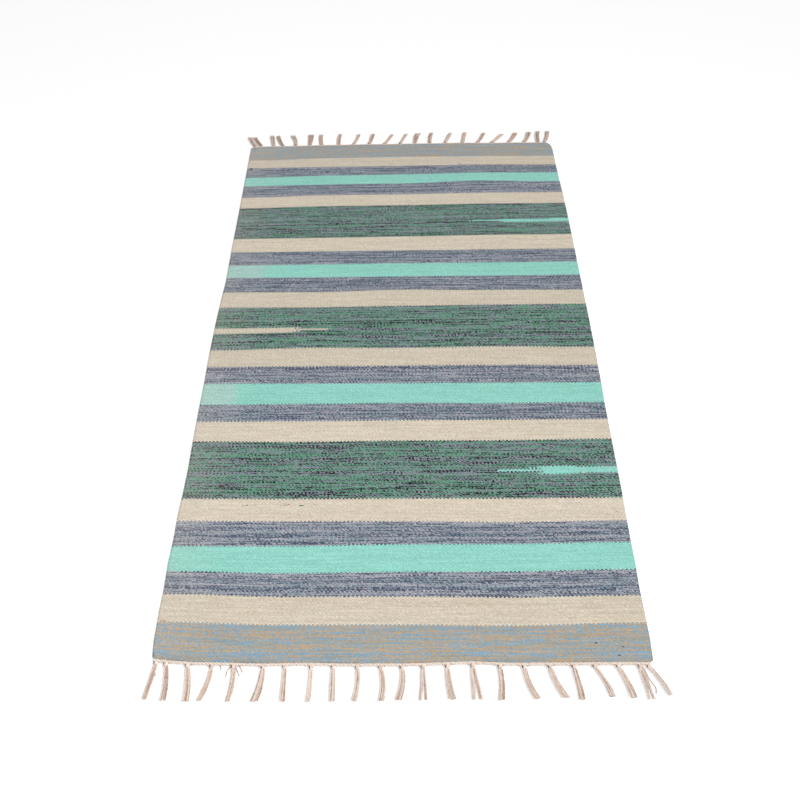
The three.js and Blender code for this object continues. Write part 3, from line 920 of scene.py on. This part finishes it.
# Length of the tassels at places across the width. The tips were cut along a line.
FRINGE_LENGTH = {
    "near": ((-440, 70.5), (-330, 66.5), (-160, 65.5), (0, 62.5), (130, 65.0), (440, 63.5)),
    "far": ((-440, 60.0), (-200, 57.0), (200, 57.0), (440, 60.0)),
}
ROOT_SPREAD = {"near": 6.4, "far": 9.0}
TIP_SPREAD = {"near": 1.0, "far": 1.35}
TASSEL_SHADES = {"near": (-0.1, 0.8), "far": (-0.2, 0.5)}
TRIM = 2.4
TASSEL_STEPS = 9
# The power by which a tassel opens, fastest below its knot, and the share of its length at which
# it has come down to the floor.
OPENING = 0.7
SETTLED_AT = 0.3
# Each end waves a little aside and up: how far at least and at most, the rise's share, how fast.
END_WAVE = (0.2, 0.8)
END_WAVE_RISE = 0.35
END_WAVE_TURNS = (5.5, 7.0)
END_THICKNESS = (0.9, 1.1)
YARN_SEED = 41
# A row for each tassel from left to right: where it is tied, how far its tip leans to the right,
# how far it bows to the right halfway, how wide its tip is and the gap it parts by.
TASSELS = {
    "near": (
        (-436, -9, 0, 10, 0), (-418, 5, 3, 13, 3), (-379, 7, 2, 15, 0), (-335, -14, 4, 11, 0),
        (-296, -3, 3, 9, 0), (-243, -9, 3, 16, 0), (-204, 1, 0, 11, 0), (-157, -2, 1, 10, 0),
        (-118, 1, 0, 13, 0), (-75, -4, 3, 10, 0), (-34, 2, 4, 12, 0), (4, -6, 4, 14, 0),
        (41, 0, 1, 16, 5), (84, 7, -1, 15, 0), (129, 6, 0, 21, 6), (177, -1, 2, 12, 0),
        (220, 19, -4, 11, 0), (265, 22, -3, 14, 0), (307, 8, 1, 12, 0), (344, 24, 3, 12, 0),
        (385, 19, 2, 15, 0), (423, 11, 0, 14, 4), (439, 28, 2, 11, 0),
    ),
    "far": (
        (-439, -24, -2, 10, 0), (-420, -28, -3, 14, 0), (-384, -11, 0, 11, 0), (-357, -19, -2, 10, 0),
        (-318, -14, 3, 11, 3), (-275, -1, 0, 15, 0), (-240, -5, -2, 10, 0), (-189, 1, -2, 9, 0),
        (-145, 14, 2, 9, 0), (-98, 10, 0, 10, 0), (-53, 22, 2, 9, 0), (-6, 19, 0, 9, 0),
        (39, 9, -2, 15, 3), (83, 6, -2, 9, 0), (128, 18, 0, 10, 0), (180, 9, 0, 9, 0),
        (224, 21, 2, 10, 0), (267, 32, 0, 11, 0), (316, 24, 2, 11, 0), (362, 18, 3, 13, 0),
        (405, 3, -2, 12, 0), (424, 13, 2, 10, 0),
    ),
}
# Single ends that came loose beside the near knots, as places on the floor.
LOOSE_ENDS = (
    ((-437, -753), (-436, -763), (-433.5, -773.9)),
    ((-298, -755), (-306.2, -764.3), (-307.8, -775.9)),
    ((-294, -756), (-289.5, -764), (-283.4, -774.9)),
    ((-292, -755), (-284.4, -759), (-279.2, -768.1)),
    ((-322, -755), (-319, -759), (-317.8, -763.5)),
    ((425, -756), (430.5, -765), (436, -780), (443.6, -793.3), (442.6, -803.9)),
)
LOOSE_END_THICKNESS = 0.8
LOOSE_END_SHADE = -0.1
OUTERMOST_INSET = 2


def warps_of(end):
    """The places of the warps that each tassel of one end gathers."""
    ties = np.array([row[0] for row in TASSELS[end]], float)
    places = (np.arange(WARPS) + 0.5) * WARP_PITCH - SIDE
    first, last = HEADING_REACH[end]
    places = np.clip(places, first + OUTERMOST_INSET, last - OUTERMOST_INSET)
    nearest = np.abs(places[:, None] - ties[None, :]).argmin(1)
    return [places[nearest == i] for i in range(len(ties))]


def warp_end_paths(end, rng):
    """A line for every warp end, from inside the cloth's edge through its knot to its tip."""
    paths = []
    lengths = np.array(FRINGE_LENGTH[end])
    knot_out = KNOT_OUT[end]
    knot_in, knot_end = (knot_out + place for place in THROUGH_KNOT)
    for (tie, lean, bow, tip_width, parting), gathered in zip(TASSELS[end], warps_of(end)):
        count = len(gathered)
        length = np.interp(tie, lengths[:, 0], lengths[:, 1]) - knot_out
        tip_out = math.sqrt(length ** 2 - lean ** 2)
        spread = tip_width * TIP_SPREAD[end] - WARP_YARN
        for i, start in enumerate(gathered):
            aside = start - tie
            side_place = (i + 0.5) / count - 0.5
            around = 2 * math.pi * (i + BUNDLE_TURN) / count
            bundle_x = BUNDLE_RADIUS * math.cos(around)
            bundle_z = KNOT_HEIGHT + BUNDLE_RISE * math.sin(around)
            points = [beyond(end, tie + left * aside, out, z) for left, out, z in WAY_TO_KNOT]
            points.append(beyond(end, tie + ASIDE_AT_KNOT * aside + bundle_x / 2, knot_in, bundle_z))
            points.append(beyond(end, tie + bundle_x, knot_end, bundle_z))
            layer = WARP_YARN * LAYERS[i % 2]
            reach = tip_out - TRIM * rng.random()
            wave = rng.uniform(*END_WAVE, 2)
            wave_start = rng.uniform(0, 2 * math.pi, 2)
            for step in range(1, TASSEL_STEPS + 1):
                down = step / TASSEL_STEPS
                opened = ROOT_SPREAD[end] + (spread - parting - ROOT_SPREAD[end]) * down ** OPENING
                x = tie + lean * down + bow * 4 * down * (1 - down) + side_place * opened
                x += math.copysign(parting / 2 * down, side_place)
                x += wave[0] * down * math.sin(END_WAVE_TURNS[0] * down + wave_start[0])
                settled = float(smooth(down / SETTLED_AT))
                rise = 1 + math.sin(END_WAVE_TURNS[1] * down + wave_start[1])
                z = KNOT_HEIGHT * (1 - settled) + layer * settled
                z += END_WAVE_RISE * wave[1] * rise * settled
                points.append((x, OUT[end] * (edge_at(end, tie) + knot_out + reach * down), z))
            paths.append((points, rng.uniform(*END_THICKNESS), rng.uniform(*TASSEL_SHADES[end])))
    return paths


rng = np.random.default_rng(YARN_SEED)
for end in OUT:
    paths = warp_end_paths(end, rng)
    if end == "near":
        for loose in LOOSE_ENDS:
            points = [(x, y, WARP_YARN / 2) for x, y in loose]
            paths.append((points, LOOSE_END_THICKNESS, LOOSE_END_SHADE))
    yarn_piece(end + "_warp_ends", paths, WARP_YARN)
    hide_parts(end + "_fringe")

# Knots: each bundle of warp ends is tied in one overhand knot, so three or four of its yarns show
# as a slanting wrap of one turn and a half. They are drawn tight by hand and no two are alike.
KNOT_YARN = 2.3
KNOT_WIDTH = 3.2
KNOT_RISE = 1.4
KNOT_WRAPS = 3
KNOT_TURNS = 1.5
KNOT_STEPS = 15
KNOT_PITCH = 1.8
KNOT_LIFT = 1.25
KNOT_SLANT = 1.6
KNOT_SIZES = (0.88, 1.12)
KNOT_THICKNESS = (0.9, 1.05)
# A dark yarn laid as painted shadow in the hollow beside each knot: to the left of it, out, and up.
KNOT_PAINTED_SHADOW = {
    "near": ((3.7, 5.7, 3.2), (3.6, 6.7, 3.9), (3.3, 7.9, 3.8), (2.9, 9.5, 2.9)),
    "far": ((8.0, 5.2, 1.8), (5.0, 4.2, 3.0), (1.0, 3.9, 3.9), (-3.5, 4.2, 3.0)),
}
# The far knots get darker yarn tones, as painted shade on their side that faces the cloth.
KNOT_SHADES = {"near": (0.2, 0.7), "far": (-0.2, 0.3)}
PAINTED_SHADOW_THICKNESS = {"near": 0.95, "far": 0.8}
PAINTED_SHADOW_TONE = -0.9


def knot_paths(end, rng):
    """Wrapping lines for each knot, side by side along its bundle."""
    paths = []
    for tie, *_ in TASSELS[end]:
        size = rng.uniform(*KNOT_SIZES)
        slant = rng.uniform(-KNOT_SLANT, KNOT_SLANT)
        start = rng.uniform(0, 2 * math.pi)
        for wrap in range(KNOT_WRAPS):
            points = []
            for turn in np.linspace(0, KNOT_TURNS, KNOT_STEPS):
                around = start + 2 * math.pi * turn
                from_middle = wrap - (KNOT_WRAPS - 1) / 2 + (turn - KNOT_TURNS / 2) / 2
                x = tie + KNOT_WIDTH * size * math.cos(around)
                out = KNOT_OUT[end] + KNOT_PITCH * from_middle + slant * math.cos(around)
                z = KNOT_LIFT + KNOT_RISE * size * (1 + math.sin(around))
                points.append(beyond(end, x, out, z))
            paths.append((points, rng.uniform(*KNOT_THICKNESS), rng.uniform(*KNOT_SHADES[end])))
        # Painted shadow: a dark yarn in the hollow beside the knot.
        painted_shadow = [beyond(end, tie - x, out, z) for x, out, z in KNOT_PAINTED_SHADOW[end]]
        paths.append((painted_shadow, PAINTED_SHADOW_THICKNESS[end], PAINTED_SHADOW_TONE))
    return paths


knots = [yarn_piece(end + "_knots", knot_paths(end, rng), KNOT_YARN) for end in OUT]
